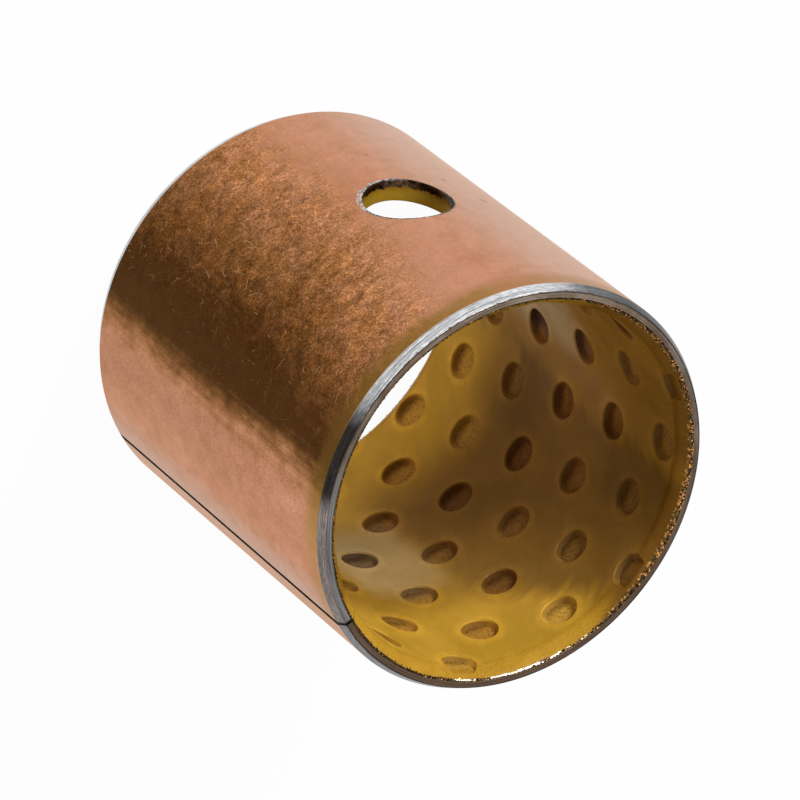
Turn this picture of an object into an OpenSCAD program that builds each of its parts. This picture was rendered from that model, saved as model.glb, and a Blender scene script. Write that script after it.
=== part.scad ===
// Wrapped plain bush, rolled from three-layer strip: a copper-flashed steel back, a sintered
// bronze layer and a plastic sliding layer with lubricant indents. It stands on one end, its
// axis on Z and its oil hole towards +X. Sizes are in millimetres.

/* [Bush] */
// Bore diameter, at the sliding surface
bore_d = 25; // [20:0.5:32]
// Length over both ends
length = 30; // [20:1:40]

/* [Strip] */
// Thickness of the steel back
steel_t = 0.75; // [0.6:0.05:1.2]
// Thickness of the sintered bronze layer
bronze_t = 0.3; // [0.25:0.05:0.4]
// Thickness of the plastic sliding layer
liner_t = 0.45; // [0.35:0.05:0.6]

/* [Joint and oil hole] */
// Gap of the butt joint where the strip's two ends meet
joint_gap = 0.1; // [0.05:0.05:0.3]
// Angle of the joint, counted from the oil hole
joint_angle = 120; // [60:5:180]
// Diameter of the oil hole at mid-length
oil_hole_d = 6; // [3:0.5:8]

/* [Ends] */
// Depth of the outside bevel, taken off the radius
bevel_depth = 0.32; // [0.2:0.02:0.36]
// Length of the outside bevel, along the axis
bevel_len = 0.65; // [0.3:0.05:1]
// Depth of the lead-in at the bore, added to the radius
lead_depth = 0.72; // [0.42:0.05:0.77]
// Length of the lead-in at the bore, along the axis
lead_len = 0.8; // [0.4:0.05:1.2]

/* [Indents] */
// Diameter of an indent at the sliding surface
indent_d = 2.4; // [1.6:0.1:3]
// Diameter of an indent's floor
indent_floor_d = 2.1; // [1:0.1:2.3]
// Plastic left under an indent's floor
indent_skin_t = 0.1; // [0.05:0.05:0.2]
// Distance between the indents of a row
indent_pitch = 5.9; // [4.5:0.1:8]
// Distance between the rows; each row is shifted half a pitch from the last
row_gap = 4.4; // [3.5:0.1:6]
// Lean of the rows from the bush's axis
row_lean = 11; // [0:1:25]
// Place of one indent, as a distance round the bore from the joint
first_indent_arc = 18; // [0:0.5:40]
// Height of that indent
first_indent_z = 21.4; // [5:0.2:25]

/* [Hidden] */
$fn = 180;
indent_fn = 40;

bore_r = bore_d / 2;
bronze_r = bore_r + liner_t;
steel_r = bronze_r + bronze_t;
outside_r = steel_r + steel_t;
oil_hole_z = length / 2;
// The strip is rolled a little long, and what cuts it reaches this far past it
cut = 1;

// The indents are pressed into the flat strip, as wide as the bore is round
strip_w = PI * bore_d - joint_gap;
indent_floor_r = bronze_r - indent_skin_t;
indent_depth = indent_floor_r - bore_r;
indent_draft = (indent_d - indent_floor_d) / indent_depth;
// An indent whose centre is further than this outside the strip would leave only a nick
indent_reach = indent_d / 4;
row_count = ceil(strip_w / row_gap) + 1;
column_count = ceil((length + strip_w * tan(row_lean)) / indent_pitch) + 1;

// Place of one indent on the flat strip: [distance from the joint, height]
function indent_place(row, column) =
    let (across = row * row_gap,
         along = (column + (row % 2 == 0 ? 0 : 0.5)) * indent_pitch)
    [first_indent_arc + across * cos(row_lean) + along * sin(row_lean),
     first_indent_z - across * sin(row_lean) + along * cos(row_lean)];

function on_strip(p) =
    p[0] > -indent_reach && p[0] < strip_w + indent_reach
    && p[1] > -indent_reach && p[1] < length + indent_reach;

indent_places = [
    for (row = [-row_count : row_count], column = [-column_count : column_count])
        let (p = indent_place(row, column))
        if (on_strip(p)) p
];

// One layer of the rolled strip, before its ends are trimmed
module rolled_layer(inner_r, outer_r) {
    translate([0, 0, -cut])
        difference() {
            cylinder(r = outer_r, h = length + 2 * cut);
            translate([0, 0, -cut])
                cylinder(r = inner_r, h = length + 4 * cut);
        }
}

// What the end tool takes away: the stock past the end, the outside bevel and the lead-in
module end_cut() {
    rotate_extrude()
        polygon([
            [bore_r - cut, -2 * cut],
            [outside_r + cut, -2 * cut],
            [outside_r + cut, bevel_len],
            [outside_r, bevel_len],
            [outside_r - bevel_depth, 0],
            [bore_r + lead_depth, 0],
            [bore_r, lead_len],
            [bore_r - cut, lead_len]
        ]);
}

// The slot that the strip's two ends leave between them
module joint_cut() {
    rotate([0, 0, joint_angle])
        translate([bore_r - cut, -joint_gap / 2, -2 * cut])
            cube([outside_r - bore_r + 2 * cut, joint_gap, length + 4 * cut]);
}

module oil_hole_cut() {
    translate([bore_r - cut, 0, oil_hole_z])
        rotate([0, 90, 0])
            cylinder(d = oil_hole_d, h = outside_r - bore_r + 2 * cut, $fn = 90);
}

// All that is cut through the three layers alike
module wall_cuts() {
    end_cut();
    translate([0, 0, length])
        mirror([0, 0, 1])
            end_cut();
    joint_cut();
    oil_hole_cut();
}

// The tapered punch of one indent, reaching past the sliding surface and the floor
module indent_punch(p) {
    rotate([0, 0, joint_angle + p[0] / bore_r * 180 / PI])
        translate([bore_r - cut / 2, 0, p[1]])
            rotate([0, 90, 0])
                cylinder(
                    d1 = indent_d + indent_draft * cut / 2,
                    d2 = indent_floor_d - indent_draft * cut / 8,
                    h = cut / 2 + indent_depth + cut / 8,
                    $fn = indent_fn);
}

// The half of the wall on one side of the joint: 1 where the strip begins, -1 where it ends
module joint_side(side) {
    rotate([0, 0, joint_angle])
        translate([-outside_r, side > 0 ? 0 : -outside_r, -cut])
            cube([2 * outside_r, outside_r, length + 2 * cut]);
}

// The indents of the whole strip, with floors that follow the bronze, cut off at the joint
module indents() {
    intersection() {
        translate([0, 0, -cut])
            cylinder(r = indent_floor_r, h = length + 2 * cut);
        union() {
            intersection() {
                joint_side(1);
                for (p = indent_places)
                    if (p[0] < strip_w / 2) indent_punch(p);
            }
            intersection() {
                joint_side(-1);
                for (p = indent_places)
                    if (p[0] >= strip_w / 2) indent_punch(p);
            }
        }
    }
}

// Copper-flashed outside, with bare steel wherever a tool has cut it
module steel_backing() {
    difference() {
        color("#C98A6E") rolled_layer(steel_r, outside_r);
        color("#A9A9AB") wall_cuts();
    }
}

module bronze_interlayer() {
    color("#A5713A")
        difference() {
            rolled_layer(bronze_r, steel_r);
            wall_cuts();
        }
}

module polymer_liner() {
    color("#C89B2C")
        difference() {
            rolled_layer(bore_r, bronze_r);
            wall_cuts();
            indents();
        }
}

steel_backing();
bronze_interlayer();
polymer_liner();
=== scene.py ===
import math
import random
import bmesh
import bpy
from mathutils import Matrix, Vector


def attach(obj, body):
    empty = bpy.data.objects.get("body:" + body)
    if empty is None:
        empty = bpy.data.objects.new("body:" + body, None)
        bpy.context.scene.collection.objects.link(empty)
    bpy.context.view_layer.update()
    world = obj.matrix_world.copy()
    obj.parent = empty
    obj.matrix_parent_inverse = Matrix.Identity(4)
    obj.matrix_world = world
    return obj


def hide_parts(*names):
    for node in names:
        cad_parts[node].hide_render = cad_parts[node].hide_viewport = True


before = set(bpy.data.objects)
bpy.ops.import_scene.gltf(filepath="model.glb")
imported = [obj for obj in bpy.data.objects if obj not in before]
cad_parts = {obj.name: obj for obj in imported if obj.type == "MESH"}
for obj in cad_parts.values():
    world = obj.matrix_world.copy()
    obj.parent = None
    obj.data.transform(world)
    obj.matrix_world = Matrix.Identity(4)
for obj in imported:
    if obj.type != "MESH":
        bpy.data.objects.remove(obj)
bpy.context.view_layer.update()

bl_info = {
    "name": "Wrapped Plain Bush",
    "version": (1, 0, 0),
    "blender": (4, 5, 0),
    "location": "3D View > Sidebar > Bush",
    "description": "Models a wrapped three-layer plain bush with its finishes and a plain studio",
    "category": "Add Mesh",
}

MM = 0.001
# Patterns in the materials are laid out in millimetres and degrees
PER_MM = 1000.0
RADIANS = math.pi / 180
# Added to a distance on the opposite wall, so that nothing is painted there
OPPOSITE = 50.0
# Steps round the wall, round the oil hole, round the drill and round an indent
WALL_STEPS = 360
HOLE_STEPS = 180
DRILL_SIDES = 128
PUNCH_STEPS = 40
# Rows of faces along the sliding surface
WALL_ROWS = 62
GRAIN_COUNT = 2200
# Distance from the camera's aim to a lamp, in metres
LAMP_DISTANCE = 0.6
JOINT_BLACK = (0.012, 0.01, 0.009)


def length_prop(name, description, millimetres):
    return bpy.props.FloatProperty(
        name=name, description=description, default=millimetres * MM, unit="LENGTH")


def angle_prop(name, description, degrees):
    return bpy.props.FloatProperty(
        name=name, description=description, default=math.radians(degrees), subtype="ANGLE")


def colour_prop(name, description, colour):
    return bpy.props.FloatVectorProperty(
        name=name, description=description, default=colour, size=3, subtype="COLOR")


def level_prop(name, description, level):
    return bpy.props.FloatProperty(name=name, description=description, default=level)


class BushSizes(bpy.types.PropertyGroup):
    """Sizes of the bush, the same as the solids'"""
    bore_d: length_prop("Bore diameter", "At the sliding surface", 25)
    length: length_prop("Length", "Over both ends", 30)
    steel_t: length_prop("Steel", "Thickness of the steel back", 0.75)
    bronze_t: length_prop("Bronze", "Thickness of the sintered layer", 0.3)
    liner_t: length_prop("Plastic", "Thickness of the sliding layer", 0.45)
    joint_gap: length_prop("Joint gap", "Gap of the butt joint", 0.1)
    joint_angle: angle_prop("Joint angle", "Counted from the oil hole", 120)
    oil_hole_d: length_prop("Oil hole", "Diameter of the hole at mid-length", 6)
    bevel_depth: length_prop("Bevel depth", "Taken off the outside radius", 0.32)
    bevel_len: length_prop("Bevel length", "Along the axis", 0.65)
    lead_depth: length_prop("Lead-in depth", "Added to the bore's radius", 0.72)
    lead_len: length_prop("Lead-in length", "Along the axis", 0.8)
    edge_round: length_prop("Edge round", "Radius on the machined edges", 0.04)


class IndentSizes(bpy.types.PropertyGroup):
    """Sizes of the lubricant indents, the same as the solids'"""
    width: length_prop("Width", "Diameter at the sliding surface", 2.4)
    floor_width: length_prop("Floor width", "Diameter of the floor", 2.1)
    skin_t: length_prop("Skin", "Plastic left under the floor", 0.1)
    pitch: length_prop("Pitch", "Distance within a row", 5.9)
    row_gap: length_prop("Row gap", "Distance between rows", 4.4)
    row_lean: angle_prop("Row lean", "Lean of the rows from the axis", 11)
    first_arc: length_prop("First, round", "Distance from the joint", 18)
    first_z: length_prop("First, up", "Height of that indent", 21.4)
    lip_height: length_prop("Lip height", "Plastic pushed up round a rim", 0.045)
    lip_width: length_prop("Lip width", "How far the lip spreads", 0.34)


class BushColours(bpy.types.PropertyGroup):
    """Colours of the finishes"""
    copper: colour_prop("Copper", "Copper flash", (0.6, 0.29, 0.185))
    # Amber and the darkest tone make the copper's dark band: partly patina, partly painted dark reflection
    amber: colour_prop("Amber", "Copper where the patina begins", (0.41, 0.185, 0.085))
    patina_and_reflection: colour_prop("Patina", "Darkest patina", (0.072, 0.026, 0.006))
    oil_stain: colour_prop("Oil stain", "Olive stain beside the bevel", (0.3, 0.165, 0.032))
    steel: colour_prop("Steel", "Machined steel", (0.61, 0.62, 0.64))
    bronze: colour_prop("Bronze", "Sintered bronze grains", (0.62, 0.27, 0.07))
    plastic: colour_prop("Plastic", "Yellow sliding layer", (0.54, 0.315, 0.035))


class StudioSettings(bpy.types.PropertyGroup):
    """Camera and light"""
    distance: bpy.props.FloatProperty(
        name="Distance", description="Camera to the middle of the bush", default=0.4257, unit="LENGTH")
    azimuth: angle_prop("Azimuth", "Camera's side, from the oil hole", 47.297)
    elevation: angle_prop("Elevation", "Camera's height", 49.892)
    roll: angle_prop("Roll", "Turn of the camera about its view", -128.81)
    aim: bpy.props.FloatVectorProperty(
        name="Aim", description="Point in the middle of the view", subtype="TRANSLATION", size=3,
        default=(-0.24 * MM, -0.19 * MM, 15.25 * MM))
    lens: level_prop("Lens", "Focal length in millimetres", 296.9)
    key_level: level_prop("Key", "Power of the key lamp in watts", 3.2)
    fill_level: level_prop("Fill", "Power of the fill lamp in watts", 0.4)
    ambient: level_prop("Ambient", "Light from all round", 0.3)
    floor_glow: level_prop("Floor glow", "Light from the floor", 0.9)


def sizes():
    return bpy.context.scene.bush_sizes


def indents():
    return bpy.context.scene.indent_sizes


def colours():
    return bpy.context.scene.bush_colours


def radii(scale=1.0):
    """Radii of the bore, the bronze, the steel and the outside."""
    s = sizes()
    bore = s.bore_d / 2
    bronze = bore + s.liner_t
    steel = bronze + s.bronze_t
    return [radius * scale for radius in (bore, bronze, steel, steel + s.steel_t)]


def deselect():
    bpy.ops.object.select_all(action="DESELECT")


def activate(obj):
    deselect()
    obj.select_set(True)
    bpy.context.view_layer.objects.active = obj


def face_outwards():
    """Turns the faces of the active mesh outwards and leaves edit mode."""
    bpy.ops.object.mode_set(mode="EDIT")
    bpy.ops.mesh.select_all(action="SELECT")
    bpy.ops.mesh.normals_make_consistent(inside=False)
    bpy.ops.object.mode_set(mode="OBJECT")


def rounded(corners, radius, steps=3):
    """The corners (r, z) of a closed outline, each cut back by radius and rounded."""
    outline = []
    for i, corner in enumerate(corners):
        here = Vector(corner)
        before = (Vector(corners[i - 1]) - here).normalized() * radius
        after = (Vector(corners[(i + 1) % len(corners)]) - here).normalized() * radius
        for step in range(steps + 1):
            t = step / steps
            outline.append(here + before * (1 - t) ** 2 + after * t ** 2)
    return [tuple(p) for p in outline]


def roll_wall(name, outline):
    """Spins a closed outline (r, z) from one side of the joint round to the other."""
    s = sizes()
    half_gap = s.joint_gap / 2 / radii()[3]
    start = s.joint_angle + half_gap
    deselect()
    bpy.ops.mesh.primitive_circle_add(vertices=len(outline), radius=MM, fill_type="NGON")
    obj = bpy.context.object
    obj.name = name
    obj.data.name = name
    for vertex, (r, z) in zip(obj.data.vertices, outline):
        vertex.co = (r * math.cos(start), r * math.sin(start), z)
    bpy.ops.object.mode_set(mode="EDIT")
    bpy.ops.mesh.select_all(action="SELECT")
    bpy.ops.mesh.spin(steps=WALL_STEPS, angle=2 * math.pi - 2 * half_gap, center=(0, 0, 0), axis=(0, 0, 1))
    bpy.ops.mesh.select_all(action="DESELECT")
    bpy.ops.mesh.select_mode(type="EDGE")
    bpy.ops.mesh.select_non_manifold(extend=False, use_wire=False, use_multi_face=False, use_verts=False)
    if any(e.select for e in bmesh.from_edit_mesh(obj.data).edges):
        bpy.ops.mesh.edge_face_add()
    face_outwards()
    return obj


def cut(obj, cutter, operation="DIFFERENCE"):
    """Takes the closed cutter out of obj, or keeps only what lies in it, and deletes the cutter."""
    activate(obj)
    modifier = obj.modifiers.new("Cut", "BOOLEAN")
    modifier.operation = operation
    modifier.solver = "EXACT"
    modifier.object = cutter
    bpy.ops.object.modifier_apply(modifier=modifier.name)
    bpy.data.objects.remove(cutter)
    if not obj.data.polygons:
        raise RuntimeError("nothing is left of " + obj.name)
    bpy.ops.object.mode_set(mode="EDIT")
    bpy.ops.mesh.select_all(action="SELECT")
    bpy.ops.mesh.fill_holes(sides=4)
    bpy.ops.object.mode_set(mode="OBJECT")


def drill_oil_hole(obj):
    s = sizes()
    bore, _, _, outside = radii()
    deselect()
    bpy.ops.mesh.primitive_cylinder_add(
        vertices=DRILL_SIDES, radius=s.oil_hole_d / 2, depth=4 * MM,
        location=((bore + outside) / 2, 0, s.length / 2), rotation=(0, math.pi / 2, 0))
    cut(obj, bpy.context.object)


def join_onto(obj, others):
    deselect()
    for other in others:
        other.select_set(True)
    obj.select_set(True)
    bpy.context.view_layer.objects.active = obj
    bpy.ops.object.join()


def finish_piece(obj, nodes, materials, angle):
    """Smooths obj, gives it its materials and puts it in its CAD node's place."""
    activate(obj)
    bpy.ops.object.transform_apply(location=True, rotation=True, scale=True)
    bpy.ops.object.shade_smooth_by_angle(angle=math.radians(angle))
    for material in materials:
        obj.data.materials.append(material)
    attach(obj, "root")
    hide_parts(*nodes)


class Field:
    """A number that varies over a surface: a node's output, with which one can reckon."""

    def __init__(self, nodes, socket):
        self.nodes = nodes
        self.socket = socket

    def __add__(self, other):
        return self.nodes.math("ADD", self, other)

    def __sub__(self, other):
        return self.nodes.math("SUBTRACT", self, other)

    def __rsub__(self, other):
        return self.nodes.math("SUBTRACT", other, self)

    def __mul__(self, other):
        return self.nodes.math("MULTIPLY", self, other)

    def __abs__(self):
        return self.nodes.math("ABSOLUTE", self)

    def rise(self, low, high):
        """0 below low, 1 above high and smooth between; falls instead where low is above high."""
        limits = (low, high, 0.0, 1.0) if low < high else (high, low, 1.0, 0.0)
        node = self.nodes.add("MapRange", (self,) + limits, interpolation_type="SMOOTHSTEP")
        return Field(self.nodes, node.outputs["Result"])

    def between(self, low, high, soft):
        """1 from low to high, fading to 0 over soft on both sides."""
        return self.rise(low - soft, low) * self.rise(high + soft, high)

    def spread(self, amount):
        """A noise centred on zero, to push an edge to and fro by about amount."""
        return (self - 0.5) * amount


class Nodes:
    """One material: adds nodes to it, links them, and keeps the colour painted so far."""

    def __init__(self, name):
        self.material = bpy.data.materials.new(name)
        self.material.use_nodes = True
        self.tree = self.material.node_tree
        self.shader = self.tree.nodes["Principled BSDF"]
        self.colour = None
        self.place()

    def plug(self, socket, value):
        if isinstance(value, Field):
            value = value.socket
        if isinstance(value, bpy.types.NodeSocket):
            self.tree.links.new(value, socket)
        elif value is not None:
            socket.default_value = tuple(value) + (1.0,) if socket.type == "RGBA" else value

    def add(self, kind, inputs=(), **settings):
        """A new node. The inputs are given in order, or as a dictionary by name or number."""
        node = self.tree.nodes.new("ShaderNode" + kind)
        for name, setting in settings.items():
            setattr(node, name, setting)
        if not isinstance(inputs, dict):
            inputs = dict(enumerate(inputs))
        for key, value in inputs.items():
            self.plug(node.inputs[key], value)
        return node

    def math(self, operation, *values, clamp=False):
        return Field(self, self.add("Math", values, operation=operation, use_clamp=clamp).outputs[0])

    def away(self, across, along):
        return self.math("SQRT", across * across + along * along)

    def most(self, fields):
        """The largest of several numbers."""
        first, *others = fields
        for other in others:
            first = self.math("MAXIMUM", first, other)
        return first

    def split(self, vector):
        return [Field(self, socket) for socket in self.add("SeparateXYZ", (vector,)).outputs]

    def vector(self, *values):
        return self.add("CombineXYZ", values).outputs[0]

    def place(self):
        """Millimetres round the outside from the joint, height, radius, and degrees from joint and hole."""
        joint = sizes().joint_angle
        turn = self.add("Mapping", {
            "Vector": self.add("TexCoord").outputs["Object"], "Rotation": (0, 0, math.pi - joint),
            "Scale": (PER_MM, PER_MM, PER_MM)})
        x, y, self.height = self.split(turn.outputs[0])
        angle = self.math("ARCTAN2", y, x) + math.pi
        self.radius = self.away(x, y)
        self.arc = angle * radii(PER_MM)[3]
        self.degrees = angle * (180 / math.pi)
        self.from_hole = self.degrees - (360 - math.degrees(joint))
        self.flat = self.vector(self.arc, self.height, self.radius)

    def beside_hole(self):
        """Distance from the hole's axis to the side."""
        return self.radius * self.math("SINE", self.from_hole * RADIANS)

    def off_hole(self):
        """Distance from the oil hole's axis."""
        away = self.away(self.beside_hole(), self.height - sizes().length / 2 * PER_MM)
        return away + self.from_hole.rise(-80, -90) * OPPOSITE

    def off_joint(self):
        """Distance from the middle of the joint."""
        across = abs(self.radius * self.math("SINE", self.degrees * RADIANS))
        return across + self.degrees.between(90.0, 270.0, 1.0) * OPPOSITE

    def spot(self, degrees, height, size, squash):
        """1 in a small spot of the unrolled surface, at degrees from the hole."""
        arc = math.radians(degrees + 360 - math.degrees(sizes().joint_angle)) * radii(PER_MM)[3]
        return self.away((self.arc - arc) * squash, self.height - height).rise(size, size * 0.4)

    def stretched(self, scale, turn=0.0, shift=(0, 0, 0)):
        """The unrolled surface, turned and shifted, and then scaled per millimetre."""
        turned = self.add("Mapping", {"Vector": self.flat, "Rotation": (0, 0, turn), "Location": shift})
        return self.add("Mapping", {"Vector": turned.outputs[0], "Scale": scale}).outputs[0]

    def noise(self, where, turn=0.0, shift=(0, 0, 0), detail=2.0, roughness=0.5, distortion=0.0):
        """A noise, scaled over the unrolled surface or given a vector."""
        if isinstance(where, tuple):
            where = self.stretched(where, turn, shift)
        node = self.add("TexNoise", {"Vector": where, "Scale": 1.0, "Detail": detail,
                                     "Roughness": roughness, "Distortion": distortion})
        return Field(self, node.outputs["Fac"])

    def cells(self, scale, turn=0.0, shift=(0, 0, 0)):
        """Distance from the middle of a cell, and three random numbers of the cell."""
        node = self.add("TexVoronoi", {"Vector": self.stretched(scale, turn, shift), "Scale": 1.0})
        return Field(self, node.outputs["Distance"]), self.split(node.outputs["Color"])

    def strokes(self, scale, length, width, share, shift):
        """Short bent scratches in all directions, at most one to a cell."""
        moved = self.stretched((1, 1, 1), 0.0, shift)
        cells = self.add("TexVoronoi", {"Vector": moved, "Scale": scale}, voronoi_dimensions="2D")
        local = self.add("VectorMath", (moved, cells.outputs["Position"]), operation="SUBTRACT")
        heading, pick, curl = self.split(cells.outputs["Color"])
        spin = self.add("VectorRotate", {"Vector": local.outputs[0], "Angle": heading * math.tau},
                        rotation_type="Z_AXIS")
        x, y, _ = self.split(spin.outputs[0])
        line = abs(y + curl.spread(1.2 / length) * (x * x)).rise(width, width * 0.3)
        run = abs(x).rise(length / 2, length * 0.3)
        return line * run * pick.rise(1 - share, 1.02 - share)

    def ramp(self, fac, *stops):
        node = self.add("ValToRGB", (fac,))
        elements = node.color_ramp.elements
        while len(elements) < len(stops):
            elements.new(0.5)
        for element, (position, colour) in zip(elements, stops):
            element.position = position
            element.color = tuple(colour) + (1.0,)
        return node.outputs["Color"]

    def mix(self, share, under, over, blend="MIX"):
        return self.add("Mix", {0: share, 6: under, 7: over}, data_type="RGBA", blend_type=blend).outputs[2]

    def paint(self, share, colour):
        self.colour = self.mix(share, self.colour, colour)

    def tint(self, share, colour):
        """Multiplies, where paint covers."""
        self.colour = self.mix(share, self.colour, colour, "MULTIPLY")

    def shade(self, share, fac, *stops):
        """Multiplies by a ramp."""
        self.tint(share, self.ramp(fac, *stops))

    def bump(self, height, strength, distance, under=None):
        return self.add("Bump", {"Strength": strength, "Distance": distance, "Height": height,
                                 "Normal": under}).outputs["Normal"]

    def finish(self, **sockets):
        self.plug(self.shader.inputs["Base Color"], self.colour)
        for name, value in sockets.items():
            self.plug(self.shader.inputs[name.replace("_", " ")], value)
        return self.material


def scaled(colour, factor):
    return tuple(min(1.0, c * factor) for c in colour)


def copper_flash():
    """Satin copper with a dark band of patina and painted reflection, painted sheen near its edges, drawn
    streaks, short scratches, pits with painted shadow, an oil stain and painted edge highlights.
    """
    c, s = colours(), sizes()
    low, top = s.bevel_len * PER_MM, (s.length - s.bevel_len) * PER_MM
    n = Nodes("Copper flash")
    hole, height = n.from_hole, n.height
    cloud = n.noise((0.16, 0.11, 0.2), detail=6, roughness=0.6)
    mottle = n.noise((0.8, 0.55, 0.5), detail=6, roughness=0.68, distortion=0.3)
    blush = n.noise((0.5, 0.3, 0.5), 0.5, (9, 4, 0), detail=5, roughness=0.62)
    grain = n.noise((7.0, 5.5, 2.0), detail=3, roughness=0.7)
    streak = n.noise((2.4, 0.06, 0.5), detail=4, roughness=0.6)
    # The dark band is partly patina and partly painted dark reflection; it is mottled towards the hole and
    # sharp towards the joint
    flank = hole + mottle.spread(34.0) + streak.spread(10.0) + height.rise(17, 27) * -9.0
    near = n.math("DIVIDE", flank - 4.0, 54.0, clamp=True)
    far = (hole + cloud.spread(10.0) + mottle.spread(8.0) + streak.spread(8.0)).rise(87.5, 72)
    dark = near * far
    n.colour = n.ramp(dark, (0.0, c.copper), (0.2, (0.52, 0.245, 0.135)), (0.42, c.amber),
                      (0.74, (0.2, 0.085, 0.028)), (1.0, c.patina_and_reflection))
    # Slow changes of tone over the whole back, and a browner strip beside the band
    n.shade(0.7, cloud, (0.3, (0.9, 0.85, 0.78)), (0.7, (1.05, 1.08, 1.12)))
    n.shade(0.9, mottle, (0.34, (0.87, 0.83, 0.78)), (0.66, (1.1, 1.11, 1.14)))
    strip = hole.rise(80, 86) * hole.rise(106, 92)
    n.tint(strip * height.rise(29, 14) * 0.85, (0.82, 0.8, 0.78))
    # Painted sheen: paler towards both edges of the strip's visible run, where it is seen edge-on, and past
    # the joint
    n.paint(hole.rise(4, -24) * hole.rise(-90, -50) * 0.75, (0.64, 0.47, 0.42))
    left = (hole + cloud.spread(8.0) + mottle.spread(6.0)).rise(103, 120)
    n.paint(left * 0.7, (0.58, 0.44, 0.41))
    n.paint(n.degrees.rise(14, 1) * 0.6, (0.66, 0.45, 0.36))
    # Golden and pinkish mottling and grain where the dark band starts
    zone = flank.rise(6, 28) * hole.rise(70, 50) * far
    n.tint(zone * blush.rise(0.42, 0.58) * 0.85, (1.0, 0.95, 0.72))
    patchy = n.noise((0.9, 0.7, 0.5), 1.1, (5, 12, 0), detail=5, roughness=0.7, distortion=0.6)
    n.shade(zone * 0.85 + 0.1, patchy, (0.36, (0.6, 0.56, 0.46)), (0.64, (1.3, 1.27, 1.3)))
    fine = zone * 0.4 + dark * 0.3 + strip * 0.25 + 0.15
    n.shade(fine, grain, (0.36, (0.5, 0.46, 0.42)), (0.62, (1.4, 1.4, 1.4)))
    # A felt of fine hairs and hollows in four directions, then dark nicks and light scratches
    lines = [n.noise((8.5, 1.9, 1.0), turn, (i * 7.3, i * 3.1, 0), detail=2.5, distortion=0.9)
             for i, turn in enumerate((0.3, 1.05, 1.8, 2.55))]
    hairs = n.most([line.rise(0.56, 0.7) for line in lines])
    hollows = n.most([line.rise(0.44, 0.3) for line in lines])
    worn = zone * 0.9 + dark * 0.12 + 0.08
    n.tint(hollows * worn * 0.75, (0.5, 0.46, 0.42))
    n.tint(hairs * worn, (1.6, 1.7, 1.85))
    nicks = n.strokes(1.3, 0.34, 0.05, 0.14, (47.7, 2.9, 0))
    n.tint(nicks * n.noise((0.3, 0.3, 1.0), 0.0, (2, 6, 0)).rise(0.45, 0.6) * 0.5, (0.5, 0.44, 0.42))
    light = n.most([n.strokes(0.8, 1.1, 0.04, 0.2, (3.1, 1.7, 0)),
                    n.strokes(1.7, 0.42, 0.045, 0.16, (17.3, 5.9, 0))])
    n.paint(light * (zone * 0.34 + dark * 0.05 + 0.03), (0.62, 0.36, 0.17))
    # Single pits, painted near black as their shadow: degrees from the hole, height, size and how narrow
    # each is
    pits = n.most([n.spot(*pit) for pit in (
        (22, 10.8, 0.3, 0.5), (-4, 8, 0.16, 1.0), (-18, 12.2, 0.2, 0.6), (-24, 15, 0.26, 0.5),
        (96, 9.5, 0.12, 1.0), (104, 14.6, 0.12, 1.0))])
    broken = pits * n.noise((9, 9, 1)).rise(0.4, 0.6)
    n.paint(broken * 0.85, (0.05, 0.04, 0.05))
    # Oil stain beside the upper bevel, and a painted highlight along the edges of the bevels
    reach = height + mottle.spread(2.6) + grain.spread(0.9)
    weight = hole.between(14, 88, 12) * 0.35 + 0.45
    stained = n.mix(dark * 0.75, c.oil_stain, c.patina_and_reflection)
    stained = n.mix(hole.rise(80, 92), stained, scaled(c.oil_stain, 1.3))
    n.paint(reach.rise(top - 2.1, top - 0.5) * weight * hole.rise(-50, -26), stained)
    # Painted highlight along the bevels' edges
    edge_highlight = n.most([height.rise(top - 0.08, top - 0.03), height.rise(low + 0.08, low + 0.03)])
    n.paint(edge_highlight * hole.rise(66, 50) * 0.3, (0.72, 0.52, 0.38))
    seam = n.off_joint().rise(0.27, 0.21)
    n.paint(seam, JOINT_BLACK)
    relief = grain * 0.4 + hairs * 0.2 + broken * -1.5
    return n.finish(Metallic=1.0 - seam, Roughness=grain * 0.16 + dark * 0.06 + 0.32, Specular_IOR_Level=0.0,
                    Specular_Tint=(0.88, 0.76, 0.62), Normal=n.bump(relief, 0.25, 0.02 * MM))


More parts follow.
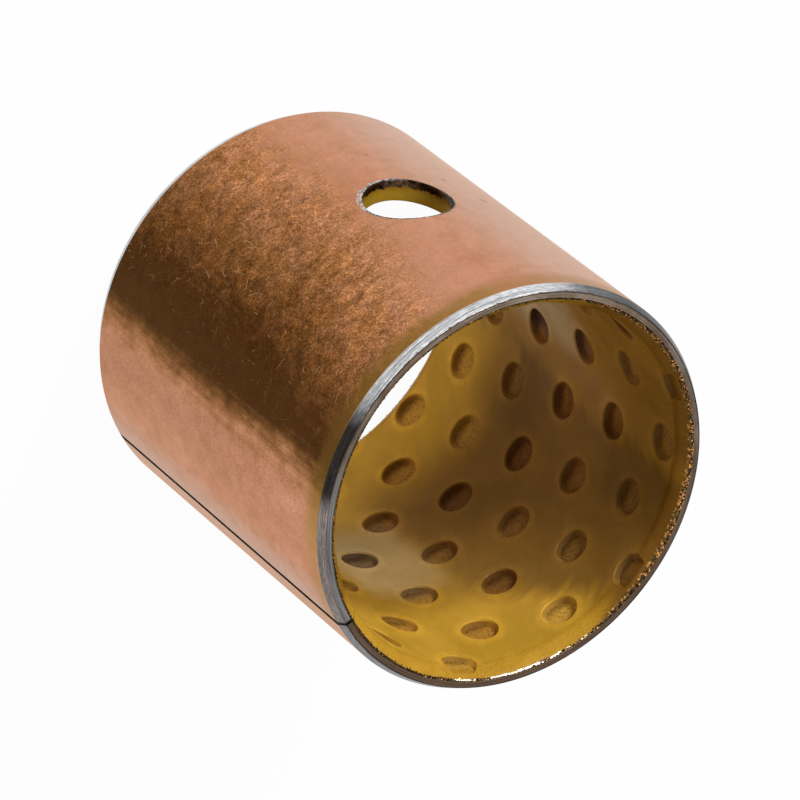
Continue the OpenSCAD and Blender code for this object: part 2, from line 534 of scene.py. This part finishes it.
def machined_steel():
    """Bare steel: turned bevels with painted reflection, brown-grey end faces with painted reflection by
    angle, a dark oil hole with a burr painted bright on one side, and a dark joint.
    """
    s = sizes()
    silver = tuple(colours().steel)
    length, outside = s.length * PER_MM, radii(PER_MM)[3]
    flat = outside - s.bevel_depth * PER_MM
    n = Nodes("Machined steel")
    hole, height, radius = n.from_hole, n.height, n.radius
    turning = n.noise(n.vector(n.arc * 0.14, height * 14.0, radius * 14.0), detail=3, roughness=0.65)
    blotch = n.noise((0.4, 0.4, 0.4), detail=6, roughness=0.65)
    grime = n.noise((2.6, 2.6, 2.6), detail=5, roughness=0.7)
    specks = n.noise(n.vector(n.arc * 2.2, height * 16.0, radius * 16.0))
    # Painted reflection on the upper bevel: bright beside the hole, darker on both sides of it, and near
    # black from 47 to 87 degrees from the hole
    bevel = n.mix(hole.rise(68, 86), silver, scaled((0.42, 0.36, 0.34), 0.55))
    for start, end, share in ((-6, -20, 0.24), (-20, -34, 0.14), (-60, -110, 0.35)):
        bevel = n.mix(hole.rise(start, end), bevel, scaled(silver, share))
    bevel = n.mix(hole.rise(47, 62) * hole.rise(87, 79), bevel, (0.03, 0.026, 0.024))
    n.colour = n.mix(height.rise(length / 2, length / 2 + 1), scaled(silver, 0.85), bevel)
    n.shade(0.9, turning, (0.34, (0.42, 0.42, 0.42)), (0.66, (1.5, 1.5, 1.5)))
    n.shade(0.7, specks, (0.38, (0.6, 0.59, 0.58)), (0.62, (1.3, 1.3, 1.3)))
    n.shade(0.5, blotch, (0.35, (0.74, 0.72, 0.7)), (0.65, (1.12, 1.12, 1.13)))
    # Brown-grey end faces, with a torn dark edge next to the bevel
    ends = n.most([height.rise(length - 0.03, length - 0.008), height.rise(0.03, 0.008)])
    face = n.ramp(blotch, (0.35, (0.095, 0.066, 0.045)), (0.65, (0.19, 0.155, 0.125)))
    rings = n.ramp(turning, (0.36, (0.5, 0.48, 0.45)), (0.64, (1.5, 1.5, 1.5)))
    face = n.mix(0.8, face, rings, "MULTIPLY")
    # Painted reflection on the end faces, as on the bevel: lighter from -30 to 40 degrees from the hole and
    # dark grey from about 70
    face = n.mix(hole.between(-30, 40, 20), face, (1.35, 1.32, 1.28), "MULTIPLY")
    grey = n.ramp(turning, (0.36, (0.07, 0.068, 0.07)), (0.64, (0.3, 0.29, 0.29)))
    face = n.mix(hole.rise(68, 86) * 0.9, face, grey)
    far_rings = n.ramp(turning, (0.36, (0.4, 0.38, 0.35)), (0.64, (1.9, 1.8, 1.7)))
    far_face = n.mix(1.0, (0.085, 0.055, 0.036), far_rings, "MULTIPLY")
    n.paint(ends, n.mix(hole.rise(-70, -130) * 0.85, face, far_face))
    off_edge = abs(radius + (0.03 - flat) + grime.spread(0.2))
    torn = off_edge.rise(0.06, 0.025) * height.rise(length - 0.16, length - 0.06)
    n.paint(torn * (hole.rise(88, 62) * 0.6 + 0.25), (0.02, 0.016, 0.014))
    # Nearly black wall of the oil hole, below a burr with a painted highlight on one side and painted shade
    # on the other
    hole_r, off_hole = s.oil_hole_d / 2 * PER_MM, n.off_hole()
    burr_shade = n.ramp(grime, (0.4, (0.03, 0.02, 0.014)), (0.6, (0.2, 0.15, 0.12)))
    burr_highlight = n.ramp(grime, (0.4, (0.12, 0.1, 0.09)), (0.56, (0.6, 0.6, 0.62)))
    bright = (n.beside_hole() - (height - length / 2)).rise(1.2, 3.2)
    n.paint(off_hole.rise(hole_r + 0.5, hole_r + 0.4), n.mix(bright, burr_shade, burr_highlight))
    wall = off_hole.rise(hole_r + 0.05, hole_r + 0.02) * radius.rise(outside - 0.06, outside - 0.14)
    n.paint(wall, n.ramp(grime, (0.4, (0.012, 0.008, 0.006)), (0.66, (0.14, 0.08, 0.04))))
    n.paint(n.off_joint().rise(0.15, 0.1), JOINT_BLACK)
    return n.finish(Metallic=1.0, Roughness=turning * 0.3 + ends * 0.12 + 0.18,
                    Normal=n.bump(turning + grime * 0.3, 0.4, 0.02 * MM))


def sintered_bronze():
    """Dark pores and smeared plastic with grains between them, painted bright as glints on one side, and a
    painted white glint.
    """
    bronze, steel = colours().bronze, radii(PER_MM)[2]
    n = Nodes("Sintered bronze")
    distance, (pick, tone, hue) = n.cells((8, 8, 8))
    patch = n.noise((0.5, 0.8, 0.8), detail=4)
    # Degrees from the joint where the grains are painted bright as glints
    share = n.degrees.between(118, 212, 14) * 0.42 + patch.rise(0.45, 0.6) * 0.12 + 0.05
    lit = n.math("MULTIPLY", pick + share - 1.0, 14.0, clamp=True)
    dull = n.ramp(tone, (0.0, (0.025, 0.018, 0.009)), (0.55, (0.09, 0.055, 0.022)),
                  (1.0, (0.22, 0.125, 0.045)))
    grains = n.mix(lit, dull, n.ramp(hue, (0.0, scaled(bronze, 0.6)), (1.0, scaled(bronze, 1.5))))
    n.colour = n.mix(distance.rise(0.66, 0.35), (0.012, 0.009, 0.005), grains)
    # A broken white glint beside the steel
    runs = n.noise(n.vector(n.arc * 1.1, n.height * 3.0, n.radius * 3.0), detail=3)
    broken = n.most([n.degrees.between(57, 71, 3) * runs.rise(0.38, 0.42),
                     n.degrees.between(42, 88, 5) * runs.rise(0.52, 0.56)])
    n.paint(broken * n.radius.rise(steel - 0.06, steel - 0.09), (1.0, 0.95, 0.84))
    n.paint(n.off_joint().rise(0.15, 0.1), JOINT_BLACK)
    return n.finish(Metallic=0.9, Roughness=0.3, Normal=n.bump(distance, 0.6, 0.05 * MM))


def yellow_plastic():
    """Semi-glossy yellow plastic with painted shade along its middle and painted sheen in two places, with
    dotted brown floors in the indents.
    """
    s = sizes()
    bore, bronze, _, _ = radii(PER_MM)
    length, lead, hole_r = s.length * PER_MM, s.lead_len * PER_MM, s.oil_hole_d / 2 * PER_MM
    n = Nodes("Yellow plastic")
    height, degrees, radius, off_hole = n.height, n.degrees, n.radius, n.off_hole()
    cloud = n.noise((0.2, 0.14, 0.2), detail=5, roughness=0.55)
    smear = n.noise((0.12, 0.5, 0.2), 0.4, detail=5, roughness=0.6, distortion=0.8)
    grain = n.noise((7, 7, 3), detail=3, roughness=0.7)
    n.colour = colours().plastic
    n.shade(0.5, cloud, (0.3, (0.84, 0.8, 0.68)), (0.7, (1.1, 1.08, 1.04)))
    # Painted shade: a darker band along the middle of the far wall, in degrees from the joint
    drift = degrees + smear.spread(22.0)
    slant = drift + height.rise(29.5, 18) * 26.0
    n.tint(slant.rise(91, 106) * drift.rise(150, 138) * height.rise(4, 11) * 0.9, (0.36, 0.31, 0.5))
    # More painted shade beside the band, below it, in its middle and above it
    n.tint(drift.rise(140, 150) * degrees.rise(236, 206) * 0.75, (0.5, 0.44, 0.85))
    n.tint(height.rise(24, 19) * height.rise(6, 12) * slant.rise(106, 91) * 0.9, (0.5, 0.46, 0.42))
    n.tint(degrees.between(126, 146, 9) * height.between(8, 12.5, 3.5) * 0.4, (0.5, 0.44, 0.36))
    n.tint(degrees.between(126, 168, 8) * height.rise(20, 25) * 0.85, (0.78, 0.76, 0.7))
    # Painted greyish sheen in two places
    sheen_patches = (degrees.between(50, 68, 9) * height.between(11.5, 16.5, 3.5) * 0.45
             + degrees.between(160, 172, 8) * height.between(9.5, 15.5, 3) * 0.75)
    n.paint(sheen_patches, (0.46, 0.35, 0.18))
    tide = n.noise((0.22, 0.3, 0.3), 0.9, (3, 8, 0), detail=4, roughness=0.55, distortion=0.5)
    n.shade(0.6, tide, (0.42, (0.86, 0.86, 0.75)), (0.5, (1.0, 1.0, 0.97)), (0.6, (1.1, 1.11, 1.1)))
    # Indents: browner inside, painted shade on the low side, dotted floors, and a painted highlight on the
    # rim's lip
    along, tone, rim = n.split(n.add("Attribute", attribute_name="pocket").outputs["Vector"])
    wall = height.between(lead + 0.15, length - lead - 0.15, 0.1)
    sunk = radius.rise(bore + 0.02, bore + 0.1) * off_hole.rise(hole_r + 0.1, hole_r + 0.2) * wall
    floor = radius.rise(bore + 0.24, bore + 0.32) * sunk
    n.tint(rim * radius.rise(bore + 0.06, bore) * 0.8, (1.28, 1.26, 1.3))
    n.shade(sunk, tone, (0.3, (1.16, 1.2, 1.8)), (0.9, (0.76, 0.65, 0.95)))
    dots, (speck, _, _) = n.cells((4.6, 4.6, 0.1))
    n.tint(floor * dots.rise(0.55, 0.26) * speck.rise(0.1, 0.5) * 0.6, (0.45, 0.35, 0.32))
    lights, _ = n.cells((5.2, 5.2, 0.1), 0.4, (3, 1, 0))
    n.tint(floor * lights.rise(0.42, 0.2) * 0.5, (1.35, 1.35, 1.5))
    n.tint((along + cloud.spread(0.5)).rise(-0.1, -0.75) * sunk * 0.6, (0.22, 0.17, 0.22))
    # Indents inside the painted sheen are darker
    n.tint(sunk * sheen_patches * 1.9, (0.3, 0.25, 0.22))
    # The lead-ins are duller than the wall, and granular where they cover the bronze; from 100 to 214
    # degrees they get painted shade and painted glints
    sloped = n.most([height.rise(1.3, 1.0), height.rise(length - 1.3, length - 1.0)])
    n.shade(sloped, grain, (0.35, (0.78, 0.72, 0.64)), (0.65, (0.98, 0.94, 0.9)))
    # Painted shade and, below, painted glints on the lead-ins from 100 to 214 degrees from the joint
    turned = degrees.between(100, 214, 10)
    n.tint(sloped * turned, (0.86, 0.8, 0.74))
    n.tint(sloped * degrees.between(300, 350, 10), (0.55, 0.5, 0.5))
    _, (pick, _, _) = n.cells((7, 7, 7))
    granular = n.ramp(pick, (0.0, (0.04, 0.026, 0.01)), (0.35, (0.13, 0.085, 0.022)),
                      (0.68, (0.24, 0.13, 0.035)), (0.8, (0.6, 0.27, 0.08)), (1.0, (0.8, 0.42, 0.14)))
    over = sloped * (radius + grain.spread(0.25)).rise(bronze - 0.04, bronze + 0.08)
    n.paint(over * (turned * 0.9 + 0.06), granular)
    # The smear in the oil hole is paler at the bore
    n.shade(off_hole.rise(hole_r + 0.06, hole_r), radius + grain.spread(0.3) - bore,
            (0.0, (0.72, 0.74, 0.6)), (0.6, (0.58, 0.6, 0.5)), (1.0, (0.34, 0.28, 0.22)))
    patch = n.noise((0.5, 0.35, 0.3), detail=6, roughness=0.6)
    waves = n.bump(n.noise((0.35, 0.22, 0.3), detail=3), 0.35, 0.25 * MM)
    return n.finish(Metallic=0.0, Roughness=patch.rise(0.42, 0.58) * 0.12 + sunk * 0.3 + 0.24, IOR=1.48,
                    Specular_IOR_Level=0.03,
                    Normal=n.bump(grain * (floor * 0.95 + 0.05), 0.5, 0.05 * MM, waves))


def indent_places():
    """Places of the indents on the flat strip: (distance from the joint, height)."""
    s, t = sizes(), indents()
    strip_w = math.pi * s.bore_d - s.joint_gap
    reach = t.width / 4
    rows = math.ceil(strip_w / t.row_gap) + 1
    columns = math.ceil((s.length + strip_w * math.tan(t.row_lean)) / t.pitch) + 1
    places = []
    for row in range(-rows, rows + 1):
        for column in range(-columns, columns + 1):
            across = row * t.row_gap
            along = (column + (0.5 if row % 2 else 0.0)) * t.pitch
            arc = t.first_arc + across * math.cos(t.row_lean) + along * math.sin(t.row_lean)
            z = t.first_z - across * math.sin(t.row_lean) + along * math.cos(t.row_lean)
            if -reach < arc < strip_w + reach and -reach < z < s.length + reach:
                places.append((arc, z))
    return places


def rolled(arc, z, depth):
    """A point of the flat strip, rolled up; depth counts from the sliding surface outwards."""
    s = sizes()
    bore = s.bore_d / 2
    angle = s.joint_angle + arc / bore
    return Vector(((bore + depth) * math.cos(angle), (bore + depth) * math.sin(angle), z))


def turn_past(start, x, y):
    """Angle of the point (x, y) from the angle start, all round."""
    return (math.atan2(y, x) - start) % math.tau


def copy_of(obj):
    """A copy of obj with a mesh of its own."""
    copy = obj.copy()
    copy.data = obj.data.copy()
    bpy.context.collection.objects.link(copy)
    return copy


def punch():
    """The tapered punch of an indent, modelled flat: X and Y along the strip, Z into the plastic."""
    s, t = sizes(), indents()
    depth = s.liner_t - t.skin_t
    rings = [
        (0, -0.4 * MM), (t.width / 2 + 0.1 * MM, -0.4 * MM), (t.width / 2 + 0.06 * MM, -0.02 * MM),
        (t.width / 2, 0.05 * MM), (t.floor_width / 2 + 0.02 * MM, depth - 0.05 * MM),
        (t.floor_width / 2 - 0.04 * MM, depth), (0, depth)]
    deselect()
    bpy.ops.mesh.primitive_circle_add(vertices=len(rings), radius=MM, fill_type="NOTHING")
    obj = bpy.context.object
    for vertex, (r, z) in zip(obj.data.vertices, rings):
        vertex.co = (r, 0, z)
    bpy.ops.object.mode_set(mode="EDIT")
    mesh = bmesh.from_edit_mesh(obj.data)
    for edge in list(mesh.edges):
        if all(abs(v.co.x) < 1e-9 for v in edge.verts):
            mesh.edges.remove(edge)
    bmesh.update_edit_mesh(obj.data)
    bpy.ops.mesh.select_all(action="SELECT")
    bpy.ops.mesh.spin(steps=PUNCH_STEPS, angle=2 * math.pi, center=(0, 0, 0), axis=(0, 0, 1))
    bpy.ops.mesh.select_all(action="SELECT")
    bpy.ops.mesh.remove_doubles(threshold=1e-6)
    face_outwards()
    return obj


def trim_at_joint(obj, edge_x, side):
    """Ends a flat punch at edge_x; what lies on that side of it (1 or -1) is kept."""
    size = 10 * MM
    deselect()
    bpy.ops.mesh.primitive_cube_add(size=size, location=(edge_x + side * size / 2, 0, 0))
    cut(obj, bpy.context.object, "INTERSECT")


def rolled_punches():
    """One closed punch for each indent, in place, joined as one cutter."""
    s = sizes()
    strip_w = math.pi * s.bore_d - s.joint_gap
    reach = indents().width / 2 + 0.12 * MM
    original = punch()
    copies = []
    for arc, z in indent_places():
        copy = copy_of(original)
        if arc < reach:
            trim_at_joint(copy, -s.joint_gap / 2 - arc, 1)
        elif arc > strip_w - reach:
            trim_at_joint(copy, strip_w + s.joint_gap / 2 - arc, -1)
        for vertex in copy.data.vertices:
            x, y, depth = vertex.co
            vertex.co = rolled(arc + x, z + y, depth)
        copies.append(copy)
    bpy.data.objects.remove(original)
    join_onto(copies[0], copies[1:])
    face_outwards()
    return copies[0]


def raise_lips(obj):
    """Pushes the plastic up into a soft lip round each indent."""
    s, t = sizes(), indents()
    bore = s.bore_d / 2
    places = indent_places()
    crest = t.width / 2 + 0.12 * MM
    reach = crest + 2.6 * t.lip_width
    for vertex in obj.data.vertices:
        x, y, z = vertex.co
        radius = math.hypot(x, y)
        if radius > bore + 0.02 * MM:
            continue
        arc = turn_past(s.joint_angle, x, y) * bore
        lift = 0.0
        for place_arc, place_z in places:
            if abs(place_arc - arc) < reach and abs(place_z - z) < reach:
                past = max(0.0, math.hypot(place_arc - arc, place_z - z) - crest)
                lift = max(lift, math.exp(-(past / t.lip_width) ** 2))
        end = min(1.0, max(0.0, min(z - s.lead_len, s.length - s.lead_len - z) / (0.5 * MM)))
        new_radius = radius - t.lip_height * lift * end
        vertex.co = (x * new_radius / radius, y * new_radius / radius, z)


def ragged(seed, soft, steps=HOLE_STEPS):
    """Random numbers from -1 to 1 round a circle, each averaged soft times with its neighbours."""
    draw = random.Random(seed)
    values = [draw.uniform(-1, 1) for _ in range(steps)]
    for _ in range(soft):
        values = [(values[i - 1] + values[i] * 2 + values[(i + 1) % steps]) / 4 for i in range(steps)]
    top = max(abs(v) for v in values)
    return [v / top for v in values]


def ring_round_hole(name, section):
    """A closed ring round the oil hole. section gives, for a step and its angle, the ring's points
    (distance from the hole's axis, height above the outside)."""
    outside = radii()[3]
    count = len(section(0, 0.0))
    deselect()
    bpy.ops.mesh.primitive_torus_add(
        major_segments=HOLE_STEPS, minor_segments=count, major_radius=3 * MM, minor_radius=0.1 * MM)
    obj = bpy.context.object
    obj.name = name
    for index, vertex in enumerate(obj.data.vertices):
        step = index // count
        angle = math.tau * step / HOLE_STEPS
        away, height = section(step, angle)[index % count]
        y = away * math.cos(angle)
        z = sizes().length / 2 + away * math.sin(angle)
        vertex.co = (math.sqrt((outside + height) ** 2 - y * y), y, z)
    face_outwards()
    return obj


def hole_burr():
    """The steel burr that the drill left round the oil hole, widest on the side of the joint."""
    hole = sizes().oil_hole_d / 2
    fine, coarse = ragged(3, 0), ragged(8, 3)

    def section(i, angle):
        wide = math.exp(-((((math.degrees(angle) + 45 + 180) % 360) - 180) / 48) ** 2)
        width = (0.07 + 0.2 * wide) * (1 + 0.35 * coarse[i] + 0.2 * fine[i]) * MM
        height = (0.018 + 0.045 * wide) * (1 + 0.4 * coarse[i] + 0.3 * fine[i]) * MM
        hang = (0.02 + 0.05 * wide) * (1 + 0.8 * fine[i]) * MM
        return [
            (hole + 0.02 * MM, -0.2 * MM), (hole - hang * 0.3, -0.12 * MM), (hole - hang, height * 0.3),
            (hole + width * 0.25, height), (hole + width * 0.75, height * 0.55),
            (hole + width, -0.02 * MM), (hole + width * 0.5, -0.1 * MM)]

    return ring_round_hole("hole_burr", section)


def hole_smear():
    """Plastic that the drill smeared over the wall of the oil hole, with a ragged border."""
    hole = sizes().oil_hole_d / 2
    depth = radii()[3] - radii()[0]
    fine, coarse = ragged(5, 0), ragged(12, 4)

    def section(i, angle):
        border = (0.52 + 0.11 * coarse[i] + 0.08 * fine[i]) * MM
        thick = (0.05 + 0.012 * coarse[i]) * MM
        return [
            (hole + 0.03 * MM, -depth + 0.1 * MM), (hole + 0.03 * MM, -border),
            (hole - 0.012 * MM, -border), (hole - thick * 0.8, -border - 0.1 * MM),
            (hole - thick, -(border + depth) / 2), (hole - thick, -depth + 0.12 * MM),
            (hole - thick * 0.3, -depth + 0.01 * MM)]

    return ring_round_hole("hole_smear", section)


def roughen_tips(obj):
    """Makes the border of the smear over the bronze uneven."""
    s = sizes()
    bronze = radii()[1]
    waves = [ragged(21, 2, WALL_STEPS), ragged(22, 2, WALL_STEPS)]
    for vertex in obj.data.vertices:
        x, y, z = vertex.co
        radius = math.hypot(x, y)
        if radius < bronze + 0.1 * MM:
            continue
        upper = z > s.length / 2
        step = round(turn_past(s.joint_angle, x, y) / math.tau * WALL_STEPS) % WALL_STEPS
        push = 0.05 * MM * waves[upper][step]
        new_radius = radius + push
        vertex.co = (x * new_radius / radius, y * new_radius / radius, z + (push if upper else -push))


def mark_indents(obj):
    """Stores each point's height in its nearest indent, that indent's tone, and how close a rim is."""
    s = sizes()
    bore = s.bore_d / 2
    half = indents().width / 2
    places = indent_places()
    draw = random.Random(6)
    tones = {place: draw.random() for place in places}
    obj.data.attributes.new("pocket", "FLOAT_VECTOR", "POINT")
    marks = obj.data.attributes["pocket"].data
    for i, vertex in enumerate(obj.data.vertices):
        x, y, z = vertex.co
        arc = turn_past(s.joint_angle, x, y) * bore
        best = min(places, key=lambda p: (p[0] - arc) ** 2 + (p[1] - z) ** 2)
        across, along = arc - best[0], z - best[1]
        away = math.hypot(across, along) - half - 0.26 * MM
        marks[i].vector = (along / half, tones[best], math.exp(-(away / (0.2 * MM)) ** 2))


def liner_end():
    """The lead-in's outline from the wall to its tip: (radius, distance from the end). The plastic is
    smeared over the lower part of the bronze."""
    bore, bronze, _, _ = radii()
    return [
        (bore, 1.25 * MM), (bore + 0.012 * MM, 1.05 * MM), (bore + 0.05 * MM, 0.87 * MM),
        (bore + 0.13 * MM, 0.7 * MM), (bore + 0.26 * MM, 0.53 * MM), (bronze - 0.05 * MM, 0.33 * MM),
        (bronze + 0.06 * MM, 0.2 * MM), (bronze + 0.155 * MM, 0.11 * MM),
        (bronze + 0.19 * MM, 0.12 * MM), (bronze + 0.06 * MM, 0.25 * MM), (bronze, 0.34 * MM)]


class BUSH_OT_steel_back(bpy.types.Operator):
    """Models the steel back with its bevels, oil hole, burr and copper flash"""
    bl_idname = "bush.steel_back"
    bl_label = "Steel Back"

    def execute(self, context):
        s = sizes()
        _, _, steel, outside = radii()
        flat = outside - s.bevel_depth
        corners = [
            (steel, 0), (flat, 0), (outside, s.bevel_len), (outside, s.length - s.bevel_len),
            (flat, s.length), (steel, s.length)]
        obj = roll_wall("steel_back", rounded(corners, s.edge_round))
        drill_oil_hole(obj)
        join_onto(obj, [hole_burr()])
        finish_piece(obj, ["steel_backing"], [copper_flash(), machined_steel()], 40)
        near_hole = s.oil_hole_d / 2 + 0.4 * MM
        for polygon in obj.data.polygons:
            centre = polygon.center
            radial = Vector((centre.x, centre.y, 0)).normalized()
            on_back = polygon.normal.dot(radial) > 0.97 and centre.xy.length > outside - 0.1 * MM
            by_hole = centre.x > 0 and math.hypot(centre.y, centre.z - s.length / 2) < near_hole
            burr = by_hole and polygon.area < 0.01 * MM * MM
            polygon.material_index = 0 if on_back and not burr else 1
        return {"FINISHED"}


class BUSH_OT_bronze_layer(bpy.types.Operator):
    """Models the sintered bronze layer and the grains that stand out at its ends"""
    bl_idname = "bush.bronze_layer"
    bl_label = "Bronze Layer"

    def execute(self, context):
        s = sizes()
        bore, bronze, steel, _ = radii()
        lead = bore + s.lead_depth
        lead_z = s.lead_len * (1 - s.liner_t / s.lead_depth)
        corners = [
            (bronze, lead_z), (lead, 0), (steel, 0), (steel, s.length), (lead, s.length),
            (bronze, s.length - lead_z)]
        obj = roll_wall("bronze_layer", corners)
        drill_oil_hole(obj)
        draw = random.Random(4)
        pieces = []
        deselect()
        bpy.ops.mesh.primitive_ico_sphere_add(subdivisions=1, radius=MM)
        grain = bpy.context.object
        for i in range(GRAIN_COUNT):
            angle = s.joint_angle + math.radians(draw.uniform(0.6, 359.4))
            share = draw.uniform(0.5, 1.02)
            radius = bronze + (lead - bronze) * share
            size = draw.uniform(0.03, 0.07)
            z = max(lead_z * (1 - share), 1.5 * size * MM)
            if i % 2:
                z = s.length - z
            copy = copy_of(grain)
            copy.scale = (size * draw.uniform(0.8, 1.5), size, size * draw.uniform(0.6, 1.0))
            copy.rotation_euler = [draw.uniform(0, math.tau) for _ in range(3)]
            copy.location = (radius * math.cos(angle), radius * math.sin(angle), z)
            pieces.append(copy)
        bpy.data.objects.remove(grain)
        join_onto(obj, pieces)
        finish_piece(obj, ["bronze_interlayer"], [sintered_bronze()], 30)
        return {"FINISHED"}


class BUSH_OT_liner(bpy.types.Operator):
    """Models the yellow sliding layer with its indents, lips, lead-ins and smears"""
    bl_idname = "bush.liner"
    bl_label = "Sliding Layer"

    def execute(self, context):
        length = sizes().length
        (bore, low), *lead_in = liner_end()
        high = length - low
        outline = [(r, z) for r, z in reversed(lead_in)]
        outline += [(bore, low + (high - low) * i / WALL_ROWS) for i in range(WALL_ROWS + 1)]
        outline += [(r, length - z) for r, z in lead_in]
        obj = roll_wall("sliding_layer", outline)
        raise_lips(obj)
        roughen_tips(obj)
        cut(obj, rolled_punches())
        drill_oil_hole(obj)
        join_onto(obj, [hole_smear()])
        mark_indents(obj)
        finish_piece(obj, ["polymer_liner"], [yellow_plastic()], 30)
        return {"FINISHED"}


def set_by_rays(tree, socket, low, high):
    """Gives socket low on the rays that light the bush, and high on camera, glossy and transmission
    rays."""
    path = tree.nodes.new("ShaderNodeLightPath")
    seen = path.outputs["Is Camera Ray"]
    for name in ("Is Glossy Ray", "Is Transmission Ray"):
        either = tree.nodes.new("ShaderNodeMath")
        either.operation = "MAXIMUM"
        tree.links.new(seen, either.inputs[0])
        tree.links.new(path.outputs[name], either.inputs[1])
        seen = either.outputs[0]
    level = tree.nodes.new("ShaderNodeMapRange")
    level.inputs["To Min"].default_value = low
    level.inputs["To Max"].default_value = high
    tree.links.new(seen, level.inputs["Value"])
    tree.links.new(level.outputs["Result"], socket)


def pale_floor(glow_level):
    """A white floor that shines up into the bore as an open end does."""
    material = bpy.data.materials.new("Pale floor")
    material.use_nodes = True
    tree = material.node_tree
    paper = tree.nodes["Principled BSDF"]
    paper.inputs["Base Color"].default_value = (0.85, 0.85, 0.85, 1)
    paper.inputs["Roughness"].default_value = 0.9
    paper.inputs["Specular IOR Level"].default_value = 0.0
    glow = tree.nodes.new("ShaderNodeEmission")
    glow.inputs["Color"].default_value = (1, 1, 1, 1)
    blend = tree.nodes.new("ShaderNodeMixShader")
    set_by_rays(tree, blend.inputs[0], 0.5, 0.965)
    set_by_rays(tree, glow.inputs["Strength"], 2 * glow_level, 1.0)
    tree.links.new(paper.outputs[0], blend.inputs[1])
    tree.links.new(glow.outputs[0], blend.inputs[2])
    tree.links.new(blend.outputs[0], tree.nodes["Material Output"].inputs["Surface"])
    return material


def soft_world(ambient):
    world = bpy.data.worlds.new("Studio")
    world.use_nodes = True
    background = world.node_tree.nodes["Background"]
    background.inputs["Color"].default_value = (1, 1, 1, 1)
    set_by_rays(world.node_tree, background.inputs["Strength"], ambient, 1.0)
    return world


def direction(azimuth, elevation):
    return Vector((math.cos(azimuth) * math.cos(elevation), math.sin(azimuth) * math.cos(elevation),
                   math.sin(elevation)))


class BUSH_OT_studio(bpy.types.Operator):
    """Sets the pale floor, the soft light and the camera"""
    bl_idname = "bush.studio"
    bl_label = "Studio"

    def execute(self, context):
        t = context.scene.studio_settings
        deselect()
        bpy.ops.mesh.primitive_plane_add(size=6.0, location=(0, 0, -0.01 * MM))
        floor = context.object
        floor.name = "floor"
        floor.data.materials.append(pale_floor(t.floor_glow))
        away = direction(t.azimuth, t.elevation)
        bpy.ops.object.camera_add(location=Vector(t.aim) + away * t.distance)
        camera = context.object
        camera.rotation_euler = away.to_track_quat("Z", "Y").to_euler()
        camera.rotation_euler.rotate_axis("Z", -t.roll)
        camera.data.lens = t.lens
        camera.data.sensor_width = 36
        camera.data.clip_start = 0.01
        context.scene.camera = camera
        for name, azimuth, elevation, power, size in (
                ("key_lamp", -22, 41, t.key_level, 0.25), ("fill_lamp", 100, 50, t.fill_level, 0.35)):
            side = direction(math.radians(azimuth), math.radians(elevation))
            bpy.ops.object.light_add(type="AREA", location=side * LAMP_DISTANCE)
            lamp = context.object
            lamp.name = name
            lamp.data.shape = "DISK"
            lamp.data.size = size
            lamp.data.energy = power
            lamp.rotation_euler = side.to_track_quat("Z", "Y").to_euler()
        context.scene.world = soft_world(t.ambient)
        context.scene.view_settings.view_transform = "Standard"
        return {"FINISHED"}


class BUSH_PT_panel(bpy.types.Panel):
    """Lists the pieces of the bush and their settings"""
    bl_label = "Wrapped Plain Bush"
    bl_idname = "BUSH_PT_panel"
    bl_space_type = "VIEW_3D"
    bl_region_type = "UI"
    bl_category = "Bush"

    def draw(self, context):
        scene = context.scene
        for group in GROUPS:
            settings = getattr(scene, group)
            for name in settings.bl_rna.properties.keys():
                if name not in ("rna_type", "name"):
                    self.layout.prop(settings, name)
        for operator in OPERATORS:
            self.layout.operator(operator.bl_idname)


OPERATORS = (BUSH_OT_steel_back, BUSH_OT_bronze_layer, BUSH_OT_liner, BUSH_OT_studio)
GROUPS = {
    "bush_sizes": BushSizes,
    "indent_sizes": IndentSizes,
    "bush_colours": BushColours,
    "studio_settings": StudioSettings,
}


def register():
    for group in GROUPS.values():
        bpy.utils.register_class(group)
    for name, group in GROUPS.items():
        setattr(bpy.types.Scene, name, bpy.props.PointerProperty(type=group))
    for item in OPERATORS + (BUSH_PT_panel,):
        bpy.utils.register_class(item)


def unregister():
    for item in reversed(OPERATORS + (BUSH_PT_panel,)):
        bpy.utils.unregister_class(item)
    for name in GROUPS:
        delattr(bpy.types.Scene, name)
    for group in reversed(list(GROUPS.values())):
        bpy.utils.unregister_class(group)


def main():
    register()
    bpy.ops.bush.steel_back()
    bpy.ops.bush.bronze_layer()
    bpy.ops.bush.liner()
    bpy.ops.bush.studio()


if __name__ == "__main__":
    main()
